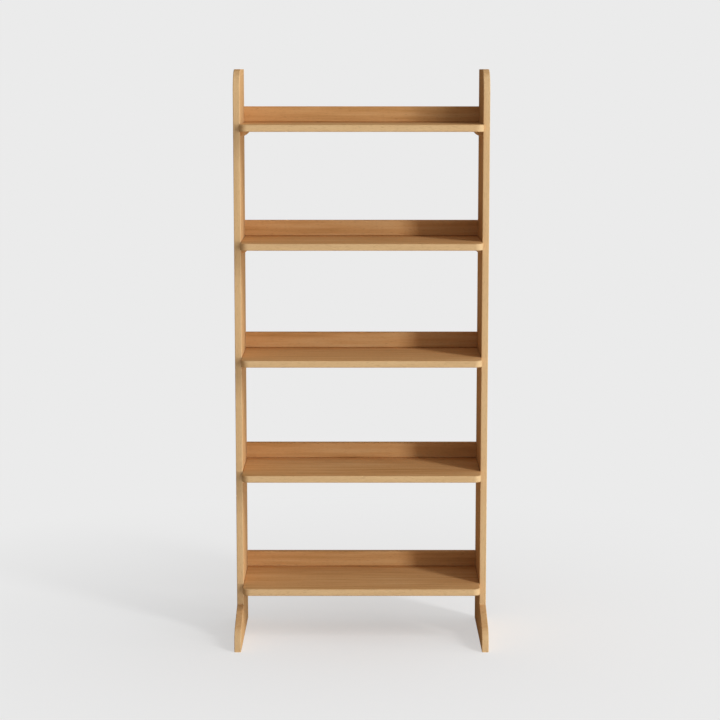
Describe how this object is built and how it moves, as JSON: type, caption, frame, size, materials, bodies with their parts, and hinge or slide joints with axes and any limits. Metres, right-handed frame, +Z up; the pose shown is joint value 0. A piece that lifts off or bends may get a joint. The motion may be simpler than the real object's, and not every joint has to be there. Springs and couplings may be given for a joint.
{
  "type": "free-standing shelf unit",
  "caption": "Tall open wooden shelf unit: flat side panels with forward-kicked feet carry deep shelves, each with a raised back lip, on cleats.",
  "frame": {"origin": "on the floor, in the middle of the footprint's box", "axes": "+X to the right seen from the front, the front faces -Y, +Z up"},
  "size_m": [0.75, 0.386, 1.702],
  "materials": {
    "oak": "matt clear lacquer",
    "zinc_steel": "zinc plated"
  },
  "bodies": {
    "root": {"side_panel_left": "oak", "side_panel_right": "oak", "shelf_1": "oak", "shelf_2": "oak", "shelf_3": "oak", "shelf_4": "oak", "shelf_5": "oak", "back_lip_1": "oak", "back_lip_2": "oak", "back_lip_3": "oak", "back_lip_4": "oak", "back_lip_5": "oak", "cleat_left_1": "oak", "cleat_right_1": "oak", "cleat_left_2": "oak", "cleat_right_2": "oak", "cleat_left_3": "oak", "cleat_right_3": "oak", "cleat_left_4": "oak", "cleat_right_4": "oak", "cleat_left_5": "oak", "cleat_right_5": "oak", "shelf_screws": "zinc_steel"}
  },
  "joints": []
}
